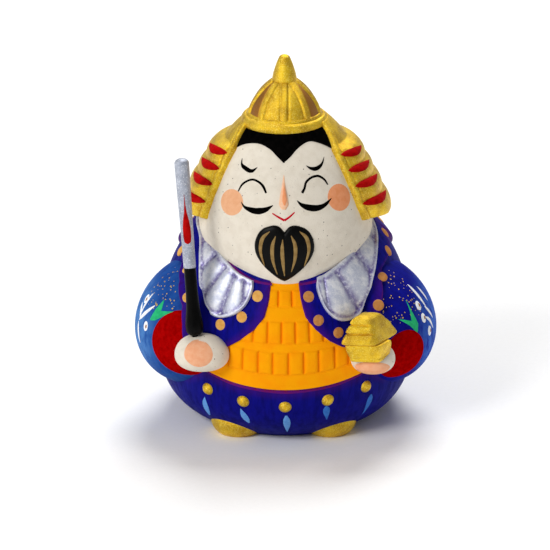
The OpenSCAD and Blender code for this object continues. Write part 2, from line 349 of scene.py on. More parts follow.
def coatPaint(name, main, other, edge, edgeWidth=0.75):   # brushed paint with a painted rim
    p = Paint(name, roughness=0.65, specular=0.05)
    strokes = p.noise(1.4, 5, 0.65, p.moved((1, 1, 0.16)))
    tone = p.blend(p.between(strokes, 0.35, 0.75), rgb(main), rgb(other))
    wobble = p.sums("ADD", p.attribute("edge"), p.sums("MULTIPLY_ADD", p.noise(1.6, 2), -0.5))
    rim = p.between(wobble, edgeWidth * 1.1, edgeWidth * 0.4)
    tone = p.blend(p.times(p.between(wobble, 4.0, 0.5), 0.3), tone, rgb(edge))
    p.colour(p.blend(rim, tone, rgb(edge)))
    p.feed("Roughness", p.between(strokes, 0.3, 0.8, 0.5, 0.7))
    return p.bump(p.noise(0.4, 3, 0.6), 0.03).bump(strokes, 0.05).material


# two golds in patches, with bright flakes and darker gaps, and a brown painted shade where the piece asks for
# it
def goldPaint(name, light="F2C824", dark="CC9A16", worn=0.0, grain=0.24):
    p = Paint(name, roughness=0.34, metallic=0.8)
    patches = p.noise(3.0, 4, 0.6)
    tone = p.blend(p.between(patches, 0.35, 0.7), rgb(light), rgb(dark))
    flakes = p.noise(grain, 3, 0.7)
    tone = p.blend(p.between(flakes, 0.5, 0.68), tone, rgb("FFEE78"))
    tone = p.blend(p.between(flakes, 0.44, 0.3, 0.0, 0.5), tone, rgb("B07A18"))
    if worn:
        tone = p.blend(p.times(p.attribute("worn"), worn), tone, rgb("A8702C"))
    p.colour(tone)
    p.feed("Roughness", p.between(flakes, 0.3, 0.7, 0.3, 0.55))
    return p.bump(flakes, 0.15).bump(p.noise(1.1, 3), 0.08).material


# one plain coat, a little uneven: roughness, grain and depth in mm, and shine
def flatPaint(name, main, other, roughness=0.6, grain=0.5, depth=0.03, shine=0.04):
    p = Paint(name, roughness=roughness, specular=shine)
    tone = p.noise(1.2, 4, 0.6)
    p.colour(p.blend(p.between(tone, 0.35, 0.7), rgb(main), rgb(other)))
    return p.bump(p.noise(grain, 3, 0.6), depth).material


print("mixing the paints")
paints = {
    "bisque": bareClay("bisque", "E9E0D0", "E2D8C7"),
    "foot": bareClay("foot", "C79A74", "B4845E"),
    "navy": coatPaint("navy", "0A0A86", "05055F", "5A1478"),
    "skirt": coatPaint("skirt", "0A0A80", "060660", "5A1060"),
    "gold": goldPaint("gold"),
    # the bowl's gold, with a brown painted shade on its side panels
    "bowlGold": goldPaint("bowlGold", "F2C624", "CE9C18", worn=1.0),
    "red": flatPaint("red", "A80404", "8E0000", shine=0.0),
    "laceRed": flatPaint("laceRed", "B80808", "980000"),
    "black": flatPaint("black", "050505", "020202", 0.4, shine=0.1),
    "brushBlack": flatPaint("brushBlack", "030303", "0A0808", 0.85, shine=0.0),
    "gloss": flatPaint("gloss", "040404", "080808", 0.3, depth=0.06, shine=0.06),
    "peach": flatPaint("peach", "F2B48C", "EFA67C", 0.7, 0.4),
    "blush": flatPaint("blush", "EDB48A", "E8A97E", 0.75, 0.4),
    "blushDeep": flatPaint("blushDeep", "F2A274", "EC9664", 0.75, 0.4),
    "lip": flatPaint("lip", "C8102A", "B00820", 0.5),
    "ochre": flatPaint("ochre", "E6B060", "D89A4A", 0.55),
    # a darker copy of the ochre, painted shade for the dots on the doll's left
    "ochreShaded": flatPaint("ochreShaded", "C98C50", "B87840", 0.55),
    "leaf": flatPaint("leaf", "2DBE7A", "25A46C", 0.5),
    "petal": flatPaint("petal", "FFFFFF", "E8ECF4", 0.5),
    "seed": flatPaint("seed", "A06A3A", "8A5428", 0.6),
    "dropPale": flatPaint("dropPale", "6EA6E6", "5C94DA", 0.5),
    # a darker copy of the drops' blue, painted shade for the drops on the doll's left
    "dropShaded": flatPaint("dropShaded", "3C78CC", "3068BC", 0.5),
    "stripe": flatPaint("stripe", "9C8050", "84683C", 0.5),
    "nose": flatPaint("nose", "F4C6A4", "F0BA94", 0.7, 0.4),
    "purple": flatPaint("purple", "5A1478", "6E1450", 0.5),
}


def silverPaint(name, base, groove, pale="F2F3FA", glitter=0.0):   # painted shade darkens the grooves towards purple
    p = Paint(name, roughness=0.38, metallic=0.35)
    grain = p.noise(0.3, 4, 0.7)
    tone = p.blend(p.between(p.noise(2.2, 4, 0.65), 0.4, 0.68), rgb(base), rgb(pale))
    tone = p.blend(p.between(grain, 0.5, 0.75), tone, rgb("FFFFFF"))
    grooveShadeAmount = p.times(p.attribute("groove"), p.between(p.noise(0.9, 4, 0.7), 0.25, 0.6))
    p.colour(p.blend(grooveShadeAmount, tone, rgb(groove)))
    return p.bump(grain, 0.06 + glitter).bump(p.noise(1.0, 3), 0.1).material


def orangePaint(name):           # deeper in the lacing grooves, as painted shade
    p = Paint(name, roughness=0.75, specular=0.06)
    tone = p.blend(p.between(p.noise(4.0, 3), 0.35, 0.7), rgb("FFA600"), rgb("FF9C00"))
    p.colour(p.blend(p.attribute("groove"), tone, rgb("F08400")))
    return p.bump(p.noise(0.45, 4, 0.6), 0.05).material


def sleevePaint(name, main, other, rim):   # brushed on in sweeps, lighter at the outer side
    p = Paint(name, roughness=0.65, specular=0.05)
    strokes = p.noise(1.6, 5, 0.7, p.moved((0.5, 1, 0.35), (0, 0.5, 0)))
    tone = p.blend(p.between(strokes, 0.35, 0.7), rgb(main), rgb(other))
    outer = p.attribute("outer")
    tone = p.blend(p.times(outer, p.between(strokes, 0.3, 0.6)), tone, rgb(rim))
    p.colour(tone)
    return p.bump(p.noise(0.4, 3, 0.6), 0.03).bump(strokes, 0.06).material


paints["silver"] = silverPaint("silver", "CDD2E4", "6A5CA0")
paints["shaft"] = silverPaint("shaft", "9CA2B2", "9CA2B2", "B6BCCA", 0.05)
paints["orange"] = orangePaint("orange")
# one sleeve paint in two copies: the lighter one on the doll's right sleeve is painted light, the darker one
# on its left is painted shade
paints["litSleeve"] = sleevePaint("litSleeve", "1E4E9A", "123A86", "4E86C8")
paints["shadedSleeve"] = sleevePaint("shadedSleeve", "0A1290", "080870", "3A6ACC")

print("setting up the camera and the lights")

view = {"elevation": 20.0, "distance": 1200.0, "lens": 298.5, "across": -2.76, "up": 33.95}
el = np.radians(view["elevation"])
camera = bpy.data.objects.new("camera", bpy.data.cameras.new("camera"))
camera.data.lens = view["lens"]
camera.location = (view["across"] * mm,
                   (view["up"] * np.sin(el) - view["distance"] * np.cos(el)) * mm,
                   (view["up"] * np.cos(el) + view["distance"] * np.sin(el)) * mm)
camera.rotation_euler = (np.pi / 2 - el, 0, 0)
camera.data.clip_start = 0.01
bpy.context.scene.collection.objects.link(camera)
bpy.context.scene.camera = camera


def softbox(name, place, size, power):   # a square light turned towards the doll's middle
    light = bpy.data.objects.new(name, bpy.data.lights.new(name, "AREA"))
    light.data.size, light.data.energy = size, power
    light.location = place
    to = np.array([0, 0, 0.045]) - np.array(place)
    light.rotation_euler = (np.arctan2(np.hypot(to[0], to[1]), -to[2]), 0,
                            np.arctan2(to[0], -to[1]) + np.pi)
    bpy.context.scene.collection.objects.link(light)


softbox("key", (-0.68, -0.7, 0.68), 0.45, 7.3)
softbox("fill", (0.8, -0.5, 0.35), 0.6, 0.12)
softbox("top", (0.1, 0.5, 0.95), 0.6, 9.0)
world = bpy.data.worlds.new("studio")
world.use_nodes = True
world.node_tree.nodes["Background"].inputs["Color"].default_value = (1, 1, 1, 1)
world.node_tree.nodes["Background"].inputs["Strength"].default_value = 0.27
bpy.context.scene.world = world
bpy.context.scene.view_settings.view_transform = "Standard"

floorMesh = bpy.data.meshes.new("floor")
floorMesh.from_pydata([(-3, -3, 0), (3, -3, 0), (3, 3, 0), (-3, 3, 0)], [], [(0, 1, 2, 3)])
floor = bpy.data.objects.new("floor", floorMesh)
bpy.context.scene.collection.objects.link(floor)
floorMesh.materials.append(flatPaint("floor", "FEFEFE", "FCFCFC", 0.95, depth=0.0, shine=0.0))

print("making the body")

shell = {"wall": 3.0, "footInner": 17.0, "slabTop": 3.6, "footTop": 0.6}


def bodyProfile(grow, low, steps):   # the body's outline from height low up, grown outwards
    n = torso["square"]
    below, above = torso["below"] + 0.4 * grow, torso["above"] + grow
    start = -np.arcsin(((torso["widest"] - low) / below) ** (n / 2))
    t = np.linspace(start, np.pi / 2, steps)
    r = (torso["radius"] + grow) * np.clip(np.cos(t), 0, None) ** (2 / n)
    z = torso["widest"] + np.where(t < 0, -below, above) * np.abs(np.sin(t)) ** (2 / n)
    return np.stack([r, z], 1)


outer = bodyProfile(0, shell["footTop"], 110)
inner = bodyProfile(-shell["wall"], shell["slabTop"], 60)
footR = outer[0, 0]
foot = [[shell["footInner"] + 0.02, shell["slabTop"]], [shell["footInner"] + 0.02, 0.5],
        [shell["footInner"] + 0.5, 0.0], [footR - 1.4, 0.0], [footR - 0.6, 0.15]]
part = turned(np.concatenate([inner[::-1], foot, outer]), 240)
# the painted edge of the skirt follows the waist
spin = np.degrees(np.arctan2(part[0][:, 0], -part[0][:, 1]))
waistZ = np.interp(np.abs(spin), [0, 20, 39, 50], [16.9, 17.7, 20, 17])
part[2]["edge"] = np.clip(np.abs(part[0][:, 2] - waistZ), 0, 9)
addPiece("body", part, paints["skirt"], stands=["body_shell"])

print("making the head")

t = np.radians(np.linspace(0, 90, 90))
high = skull["widest"] + skull["above"] * np.sin(t)
low = np.linspace(skull["lowest"], skull["widest"], 60)[:-1]
z = np.concatenate([low, high[:-1], [skull["widest"] + skull["above"] * 0.99999]])
a = np.linspace(-180, 180, 260, endpoint=False)
p, _ = onForm(headForm, a[None, :], z[:, None])
addPiece("head", loft(p), paints["bisque"], stands=["head_shell"])

print("painting the face")

face = {"cheekAcross": 3.75, "cheekUp": 3.35, "cheekThick": 0.07, "paint": 0.1}
addPiece("cheekRight", dab(headForm, -40.8, 64.1, face["cheekAcross"], face["cheekUp"],
                           face["cheekThick"], flat=10, rings=10), paints["blush"])
# the doll's left cheek, on the shaded side of the face, takes the deeper blush as painted shade
addPiece("cheekLeft", dab(headForm, 41.0, 65.3, face["cheekAcross"], face["cheekUp"] + 0.1,
                          face["cheekThick"], flat=10, rings=10), paints["blushDeep"])
# each mark is its path and its width along it: brows, eyes, then both halves of the moustache
brushMarks = [
    ([(-43.7, 74.4), (-41.5, 73.2), (-37, 72.6), (-30, 72.2), (-25.3, 73.2)],
     [0.15, 0.5, 1.0, 1.15, 0.9, 0.15]),
    ([(18.2, 73.8), (22, 73.1), (27, 72.9), (33, 73.6), (38.3, 75)], [0.15, 0.7, 1.1, 1.0, 0.5, 0.1]),
    ([(-36.9, 67.1), (-34.8, 68.9), (-30.5, 70), (-26, 70.4), (-20.5, 69.9), (-17, 69), (-14.6, 67.7)],
     [0.35, 0.6, 0.55, 0.55, 0.6, 0.7, 0.5]),
    ([(11.9, 67.8), (14, 68.8), (16, 70.2), (21, 71.1), (27, 71.2), (31.4, 70.2), (33.3, 68.9)],
     [0.7, 0.6, 0.6, 0.6, 0.65, 0.6, 0.35]),
    ([(-33.5, 65.2), (-30, 63.9), (-25.9, 63.4), (-20.2, 63.2), (-14.3, 63.7), (-9, 64.9)],
     [0.1, 0.5, 1.0, 1.5, 1.7, 1.2, 0.2]),
    ([(7.8, 66.1), (11, 65), (16, 64.2), (22, 63.9), (28, 64.4), (35.3, 66)],
     [0.15, 0.8, 1.5, 1.7, 1.4, 0.9, 0.1]),
]
addPiece("browsEyesMoustache",
         [stroke(headForm, path, width, face["paint"]) for path, width in brushMarks],
         paints["brushBlack"])
addPiece("mouth", [stroke(headForm, [(-9.2, 63), (-5, 62.1), (-1, 61.3)], [0.3, 0.5, 0.6], 0.1),
                   stroke(headForm, [(-1, 61.3), (2.5, 62.2), (5.9, 63.3)], [0.6, 0.5, 0.3], 0.1)],
         paints["lip"])
addPiece("nose", stroke(headForm, [(-1.7, 72), (-1.7, 68.5), (-1.5, 66), (-1.5, 64)],
                        [0.1, 0.8, 1.5, 2.1, 2.4, 1.1], 0.6, 60, sides=20), paints["nose"])
addPiece("noseStreak", stroke(headForm, [(-1.5, 69.6), (-1.1, 67), (-1.0, 65)],
                              [0.1, 0.6, 0.95, 1.1, 0.4], 0.12, base=0.55, sink=0.5),
         paints["blushDeep"])

print("painting the hair")

hair = {"top": 82.2, "thick": 0.25, "sink": 0.5, "roundness": 0.5,
        "line": [(-66, 73.5), (-61.9, 75.1), (-52, 77), (-40.9, 77.9), (-29, 78.1), (-16.8, 77.3),
                 (-9, 76), (-4, 75), (-2, 74.6), (0, 75), (5, 76), (11.7, 77.4), (22, 78.5),
                 (32.6, 78.6), (46, 77.2), (56.9, 75.1), (60, 73.5)]}
line = through(hair["line"], 150)
v = evenly(24, 0.5)[:, None]
addPiece("hair", relief(headForm, line[None, :, 0] + 0 * v, line[None, :, 1] * (1 - v) + hair["top"] * v,
                        hair["thick"], hair["sink"], hair["roundness"]),
         paints["brushBlack"])

print("making the beard")

beard = {"thick": 1.0, "sink": 0.4, "middle": (-1.0, 54.0),
         "heart": [(-1, 58.3), (2, 59.6), (5.5, 60.0), (9, 59.7), (13, 59), (16.2, 57.6), (18.4, 55.2),
                   (18, 52.8), (15.2, 50.6), (11, 48.6), (6, 46.8), (2, 45.6), (-1, 45)]}
half = np.array(beard["heart"])
otherHalf = half[::-1] * [-1, 1] + [2 * beard["middle"][0], 0]
outline = np.concatenate([through(half, 60), through(otherHalf, 60)[1:-1]])
heartMiddle = np.array(beard["middle"])
q = evenly(26, 0.6)[:, None, None]
ring = heartMiddle + (outline - heartMiddle) * q
dome = beard["thick"] * np.sqrt(np.clip(1 - q[..., 0] ** 5, 0, 1))
up, _ = onForm(headForm, ring[..., 0], ring[..., 1], dome + 0 * ring[..., 0])
down, _ = onForm(headForm, ring[..., 0], ring[..., 1], np.full(ring.shape[:2], -beard["sink"]))
addPiece("beard", loft(np.concatenate([up, down[::-1]])), paints["black"],
         stands=["beard"])
stripes = [[(-10.2, 58.6), (-14.6, 56.6), (-15.6, 53.4), (-13, 49.6)],
           [(-6.4, 57.4), (-8.2, 54.8), (-7.8, 51.2), (-5.2, 47.6)],
           [(-2, 56.6), (-2.2, 53.5), (-1.6, 50.2), (-0.8, 47.2)],
           [(3.2, 57.6), (5.6, 55), (5.4, 51.6), (3.3, 48.3)],
           [(8.6, 58.6), (12.8, 56.8), (14, 53.6), (11.2, 49.6)]]
addPiece("beardStripes",
         [stroke(headForm, s, [0.2, 0.8, 1.0, 0.9, 0.6, 0.2], 0.1, base=beard["thick"], sink=beard["sink"])
          for s in stripes], paints["stripe"])

print("making the neck guard")

# z and radius are the lips of the lames from the top; edgeLeft and edgeRight are the angles
# of the front edges at the heights edgeZ
guard = {"z": [82.0, 78.2, 75.6, 71.8, 67.9, 63.2, 57.6],
         "radius": [9.0, 11.9, 18.4, 20.4, 22.5, 24.8, 27.2],
         "edgeZ": [57, 62, 67, 71.5, 76, 81.2], "edgeLeft": [60.5, 55, 52, 50.6, 50.4, 60],
         "edgeRight": [63.5, 59.4, 56.6, 55.9, 56, 64], "flare": 18.0, "step": 1.2, "band": 1.5,
         "crest": 0.15, "crease": 0.25, "roundOver": 0.8, "sink": 0.6,
         "laceAt": [(0, -0.7), (9, -0.7), (20, -0.8), (31, -0.9)],
         "laceWidth": [0.1, 1.4, 2.1, 2.3, 1.9, 1.1, 0.2], "laceTurn": 84}


def guardRadius(a, z):           # hugs the head at its front edges and flares behind them
    deg = np.degrees(np.arctan2(np.sin(a), np.cos(a)))
    edge = np.where(deg > 0, np.interp(z, guard["edgeZ"], guard["edgeLeft"]),
                    np.interp(z, guard["edgeZ"], guard["edgeRight"]))
    back = smoothStep(-2, guard["flare"], np.abs(deg) - edge)
    zs, rs = guard["z"][::-1], guard["radius"][::-1]
    lame = np.interp(z, zs, np.arange(len(zs)))
    k = np.clip(lame.astype(int), 0, len(zs) - 2)
    lip, top = np.array(rs)[k], np.array(rs)[k + 1]
    down = 1 - (lame - k)        # 0 at a lame's top, 1 at its lip
    swell = 1 - (1 - down) ** np.where(k >= len(zs) - 3, 1.3, 2.3)   # flatter under the helmet
    hug = headRadius(a, z, guard["step"]) + 0.5 * (swell - down)
    full = np.maximum(top + (lip - top) * swell, hug)
    return hug + (full - hug) * back


guardForm = (guardRadius, skull["axisY"])
levels = [np.linspace(a, b, 18, endpoint=False) for a, b in zip(guard["z"][:-1], guard["z"][1:])]
z = np.concatenate(levels + [[guard["z"][-1]]])[::-1][:, None]
zc = np.clip(z, guard["edgeZ"][0], guard["edgeZ"][-1])
left = np.interp(zc, guard["edgeZ"], guard["edgeLeft"])
right = 360 - np.interp(zc, guard["edgeZ"], guard["edgeRight"])
u = evenly(300, 0.35)[None, :]
a = left + (right - left) * u
flat, _ = onForm(guardForm, a, z)
side = np.minimum(np.linalg.norm(flat - flat[:, :1], axis=-1),
                  np.linalg.norm(flat - flat[:, -1:], axis=-1))
edge = np.minimum(side, flat[..., 2] - guard["z"][-1])
over = np.sqrt(np.maximum(1 - np.clip(1 - edge / guard["roundOver"], 0, 1) ** 2, 0))
crest = guard["crest"] * smoothStep(guard["band"] + 0.2, guard["band"] - 0.2, side)
crest = crest - guard["crease"] * np.exp(-((side - guard["band"] - 0.2) / 0.2) ** 2)
up, _ = onForm(guardForm, a, z, crest - guard["roundOver"] * (1 - over))
down, _ = onForm(headForm, a, z, np.full(a.shape, -guard["sink"]))
addPiece("neckGuard", slab(up, down), paints["gold"], stands=["neck_guard"])

laces = []
for sign, edges in ((1, guard["edgeLeft"]), (-1, guard["edgeRight"])):
    for k, level in enumerate(guard["z"][2:6]):
        start = np.interp(level, guard["edgeZ"], edges) + 2.0
        for turn in (0,) if k == 0 else (0, guard["laceTurn"]):
            path = [(sign * (start + turn + along), level + rise) for along, rise in guard["laceAt"]]
            laces.append(stroke(guardForm, path, guard["laceWidth"], 0.3, 40, base=0.1, sink=0.9))
addPiece("guardLacing", laces, paints["laceRed"])

print("making the helmet")

helmet = {"centre": (-0.35, skull["axisY"]), "ribs": 9, "bowlR": 9.5, "bowlZ": 81.8, "topR": 3.0,
          "topZ": 91.8, "belly": 1.2, "ribHigh": 0.34, "shadeFrom": 44, "shadeTo": 47,
          "rim": [(9.6, 79.5), (10.4, 79.75), (10.9, 80.4), (11.1, 81.2), (10.95, 82.0), (10.5, 82.6),
                  (10.05, 82.85), (9.85, 82.8), (9.7, 83.1), (9.45, 83.45), (9.1, 83.6)],
          "tip": [(3.2, 91.0), (3.15, 92.0), (2.85, 93.6), (2.3, 95.4), (1.75, 96.9), (1.15, 98.0),
                  (0.0, 98.5)]}


def bowlProfile(s):              # an onion curve from the rim to the finial
    r = helmet["topR"] + (helmet["bowlR"] - helmet["topR"]) * (1 - s) ** 0.85
    r = r + helmet["belly"] * np.sin(np.pi * s) ** 0.9
    return r, helmet["bowlZ"] + (helmet["topZ"] - helmet["bowlZ"]) * s


s = np.linspace(0, 1, 60)
a = np.linspace(0, 2 * np.pi, 360, endpoint=False)
phase = np.abs((np.degrees(a) * helmet["ribs"] / 360 + 0.5) % 1 - 0.5) * 360 / helmet["ribs"]
r, z = bowlProfile(s)
arc = np.radians(phase)[None, :] * r[:, None]
fade = smoothStep(0, 0.06, s)[:, None]
rib = helmet["ribHigh"] * smoothStep(1.0, 0.35, arc) - 0.2 * np.exp(-((arc - 1.05) / 0.3) ** 2)
rr = r[:, None] + rib * fade
x, y = helmet["centre"][0] + rr * np.sin(a), helmet["centre"][1] - rr * np.cos(a)
part = loft(np.stack([x, y, z[:, None] + 0 * a], -1))
fromFront = np.abs(np.degrees(np.arctan2(np.sin(a), np.cos(a))))
# brown painted shade on the bowl's side panels, between the ribs, from about 45 degrees off the front
worn = smoothStep(0.9, 1.5, arc) * smoothStep(helmet["shadeFrom"], helmet["shadeTo"], fromFront)[None, :]
part[2]["worn"] = np.concatenate([worn.reshape(-1), [0, 0]])
addPiece("helmetBowl", part, paints["bowlGold"], stands=["helmet_bowl", "helmet_ribs"])
profile = np.concatenate([[[7.3, 79.6]], through(helmet["rim"], 60), [[8.4, 83.4], [7.3, 82.6]]])
addPiece("helmetRim", turned(profile, 200, helmet["centre"]), paints["gold"],
         stands=["helmet_rim"])
tipLine = through(helmet["tip"], 60)
tipLine[:, 0] = np.clip(tipLine[:, 0], 0, None)
addPiece("helmetFinial", turned(np.concatenate([[[0, 91.2]], tipLine]), 90, helmet["centre"]),
         paints["gold"], stands=["helmet_finial"])

print("making the coat")

# angles of the front opening, of the arms' edges and of the back panel's edges, each at the
# heights of its own list
coat = {"thick": 1.25, "sink": 0.6, "roundness": 0.45, "front": (26.8, 56), "behind": (17, 57),
        "openZ": [26.8, 27.6, 29.6, 32.8, 36, 40.5, 44, 60],
        "openLeft": [29, 25, 19.2, 13, 8.8, 6.7, 6.3, 6.3],
        "openRight": [29, 26, 20.5, 13.8, 9.5, 7.6, 7.4, 7.4],
        "armZ": [26, 32, 36, 40.5, 43.5, 46, 50, 60],
        "armLeft": [42, 42.5, 45, 52, 60, 80, 92, 92], "armRight": [44, 46, 48.5, 57, 68, 78, 92, 92],
        "backZ": [14, 17, 30, 38, 45, 50, 60], "back": [140, 140, 133, 120, 101, 88, 88],
        "collar": [(84, 52.9), (66, 52), (49, 50.1), (34, 47.3), (25, 45.4), (16, 44), (7, 43.5)]}


def coatPanel(a, z):
    return relief(torsoForm, a, z, coat["thick"], coat["sink"], coat["roundness"])


panels = []
for sign, opening, arm in ((1, coat["openLeft"], coat["armLeft"]),
                           (-1, coat["openRight"], coat["armRight"])):
    bottom, top = coat["front"]
    z = (bottom + (top - bottom) * evenly(110, 0.3))[:, None]
    a0, a1 = np.interp(z, coat["openZ"], opening), np.interp(z, coat["armZ"], arm)
    panels.append(coatPanel(sign * (a0 + (a1 - a0) * evenly(110, 0.4)[None, :]), z))
bottom, top = coat["behind"]
z = (bottom + (top - bottom) * evenly(110, 0.3))[:, None]
a0 = np.interp(z, coat["backZ"], coat["back"])
panels.append(coatPanel(a0 + (360 - 2 * a0) * evenly(180, 0.3)[None, :], z))
addPiece("coat", panels, paints["navy"], stands=["coat"])

downBack = [(104, 48.5), (118, 43), (132, 36), (142, 29), (147, 22)]
dots = {"right": [(-13.7, 40.7), (-20.3, 35.5), (-30.4, 32.8), (-47.9, 37.7), (-58.1, 42.4), (-74.5, 44.9)],
        "left": [(10.9, 40.7), (14.8, 35), (23.7, 31.4), (44.5, 36.3), (54, 41.4), (71.5, 45.4), (84.5, 48)],
        "back": [(s * a, z) for s in (1, -1) for a, z in downBack],
        "across": 1.35, "up": 1.4, "thick": 0.22}
# the dots on the doll's left, away from the light, take the darker ochre as painted shade
for key, paint in (("right", "ochre"), ("left", "ochreShaded"), ("back", "ochre")):
    addPiece("dots" + key.capitalize(),
             [dab(torsoForm, a, z, dots["across"], dots["up"], dots["thick"], base=coat["thick"])
              for a, z in dots[key]], paints[paint])

addPiece("collarLine", [stroke(torsoForm, [(s * a, z) for a, z in coat["collar"]],
                               [0.5, 0.8, 0.7, 0.8, 0.6], 0.35, 90, base=coat["thick"])
                        for s in (1, -1)], paints["purple"])

print("making the lapels")

lapel = {"thick": 0.9, "flute": 0.6, "sweep": 1.25, "lip": 0.25, "sink": 0.6, "roundness": 0.5}
lapelRight = {"flutes": 7,
              "inner": [(-92, 53.6), (-73, 52.6), (-49, 50), (-35, 47.4), (-25.7, 45.4), (-18, 44.2)],
              "outer": [(-92, 51.4), (-64, 49.6), (-52, 45.8), (-44.5, 40.2), (-39.2, 36), (-32, 34.4),
                        (-24, 35.7), (-18.7, 38.4), (-16.1, 41.9), (-16.4, 44)]}
lapelLeft = {"flutes": 5,
             "inner": [(80, 53.2), (66, 52.2), (49, 50.2), (31, 47.2), (21, 45.4), (17, 44.9)],
             "outer": [(82, 51.6), (72.7, 49.9), (58.7, 46.7), (47.5, 42.2), (40.5, 38), (34.5, 34.8),
                       (29, 33.9), (23, 34.7), (18, 37.6), (15.2, 42), (16, 44.7)]}
for name, data, node in (("lapelRight", lapelRight, "lapel_right"),
                         ("lapelLeft", lapelLeft, "lapel_left")):
    inner, outer = through(data["inner"], 400), through(data["outer"], 200)
    span = onForm(torsoForm, outer[:, 0], outer[:, 1])[0]
    run = np.concatenate([[0], np.cumsum(np.linalg.norm(np.diff(span, axis=0), axis=1))])
    run /= run[-1]
    sweep = 1 - (1 - run) ** lapel["sweep"]     # flutes slant back to the shoulder
    inner = np.stack([np.interp(sweep, np.linspace(0, 1, len(inner)), inner[:, i]) for i in (0, 1)], 1)
    t = evenly(60, 0.5)[None, :, None]
    grid = inner[:, None] * (1 - t) + outer[:, None] * t
    wave = np.abs(np.sin(np.pi * (run[:, None] + 0 * t[..., 0]) * data["flutes"]))
    flat, _ = onForm(torsoForm, grid[..., 0], grid[..., 1])
    edge = borderDistance(flat)
    inside = smoothStep(0.5, 1.4, edge)
    height = lapel["thick"] + lapel["lip"] * (1 - inside) + lapel["flute"] * (wave ** 0.7 - 0.6) * inside
    # painted shade in the troughs of the flutes and along the crease inside the lip
    groove = 0.85 * inside * smoothStep(0.75, 0.1, wave) + 0.8 * np.exp(-((edge - 1.35) / 0.55) ** 2)
    part = relief(torsoForm, grid[..., 0], grid[..., 1], height, lapel["sink"], lapel["roundness"],
                  {"groove": np.clip(groove, 0, 1)}, coat["thick"])
    addPiece(name, part, paints["silver"], stands=[node])

print("making the breastplate")

# low is the bottom edge, edge the half angle at the heights edgeZ, and rows are the three rows
# of plates: bottom, top and the cuts between the plates
plates = {"low": [(-39, 20), (-20, 17.7), (0, 16.9), (20, 17.7), (39, 19.8)], "bottom": 16, "top": 45.5,
          "thick": 0.7, "cut": 0.42, "cutWidth": 0.27, "raised": 0.22, "lip": 0.12, "sink": 0.6,
          "roundness": 0.5,
          "edgeZ": [16, 20, 24, 26.4, 27.2, 28, 30, 33, 36.2, 40.5, 46],
          "edge": [40, 41, 40, 38.5, 33, 28, 22, 16, 11.5, 9.4, 9],
          "rows": [(38.5, 42.2, [-9, -3.6, 3, 9]), (29.4, 34.8, [-21.5, -14.8, -8.2, -1.9, 4.3, 10.6, 17]),
                   (21.2, 27, [-32, -26, -19.2, -12.2, -5.7, 1.2, 7.9, 14.6, 22, 28.5])]}
v = evenly(170, 0.2)[:, None]
u = np.linspace(-1, 1, 240)[None, :]
z = plates["bottom"] + (plates["top"] - plates["bottom"]) * v + 0 * u
a = u * np.interp(z, plates["edgeZ"], plates["edge"])
lowLine = through(plates["low"], 60)
bottom = np.interp(a, lowLine[:, 0], lowLine[:, 1])
z = bottom + (plates["top"] - bottom) * v
a = u * np.interp(z, plates["edgeZ"], plates["edge"])
height = np.full(a.shape, plates["thick"])
groove = np.zeros(a.shape)
perDegree = np.radians(1) * torso["radius"]     # mm round the body
for zLow, zHigh, cuts in plates["rows"]:
    sag = 0.0018 * a ** 2 * (1 if zLow < 25 else 0.3)     # the lowest row curves up the most
    inRow = smoothStep(zLow - 0.3, zLow + 0.3, z - sag) * smoothStep(zHigh + 0.3, zHigh - 0.3, z - sag)
    gap = np.min(np.stack([np.abs(a - c) * perDegree for c in cuts]), 0)
    cut = np.exp(-(gap / plates["cutWidth"]) ** 2) * inRow
    height = height + plates["raised"] * inRow * smoothStep(0.0, 1.2, gap) - plates["cut"] * cut
    lip = np.exp(-((z - sag - zLow) / 0.35) ** 2) + 0.6 * np.exp(-((z - sag - zHigh) / 0.3) ** 2)
    height = height - plates["lip"] * lip * smoothStep(0.2, 0.8, gap)
    # painted shade in the cuts between the plates and along the rows' lips
    groove = np.maximum(groove, np.maximum(0.8 * cut, 0.25 * lip))
addPiece("breastplate", relief(bodyForm, a, z, height, plates["sink"], plates["roundness"],
                               {"groove": np.clip(groove, 0, 1)}),
         paints["orange"], stands=["breastplate"])
addPiece("waistLine", stroke(bodyForm, [(a, z - 0.5) for a, z in plates["low"]],
                             [0.5, 1.0, 0.8, 1.1, 0.8, 0.9, 0.4], 0.1, 90),
         paints["purple"])

print("making the sleeves")

paleSide = (31.5, 38.5)          # how far out the sleeves' paint turns pale
# the doll's right sleeve takes the lit copy of the paint and its left sleeve the shaded copy
for side, name, paint, node in ((1, "sleeveLeft", "shadedSleeve", "sleeve_left"),
                                (-1, "sleeveRight", "litSleeve", "sleeve_right")):
    t = np.linspace(-np.pi / 2, np.pi / 2, 90)[:, None]
    s = np.linspace(0, 2 * np.pi, 140, endpoint=False)[None, :]
    r = torso["sleeveR"] * np.cos(t)
    z = torso["sleeveZ"] + r * np.sin(s)
    x = side * (torso["sleeveX"] - torso["sleeveLean"] * (z - torso["sleeveZ"])) + r * np.cos(s)
    y = -torso["sleeveY"] + torso["sleeveHalf"] * np.sin(t) + 0 * s
    part = loft(np.stack([x, y, z], -1))
    part[2]["outer"] = smoothStep(*paleSide, side * part[0][:, 0])
    addPiece(name, part, paints[paint], stands=[node])

print("making the cuffs and hands")

cuffs = {"thick": 0.8, "right": (-47.5, 26.2, 8.8, 9.0), "left": (52.5, 22.8, 6.8, 7.2)}
for key, node in (("right", "cuff_right"), ("left", "cuff_left")):
    a, z, rx, rz = cuffs[key]
    addPiece("cuff" + key.capitalize(),
             dab(torsoForm, a, z, rx, rz, cuffs["thick"], flat=6, sides=90, rings=24),
             paints["red"], stands=[node])

hands = {"fist": (-21.4, -29.8, 26.0), "fistSize": (6.95, 5.2, 4.85), "lean": 0.08,
         "palm": (22.2, -30.2, 24.6), "palmSize": (5.7, 6.4, 3.6), "plump": 2.2}


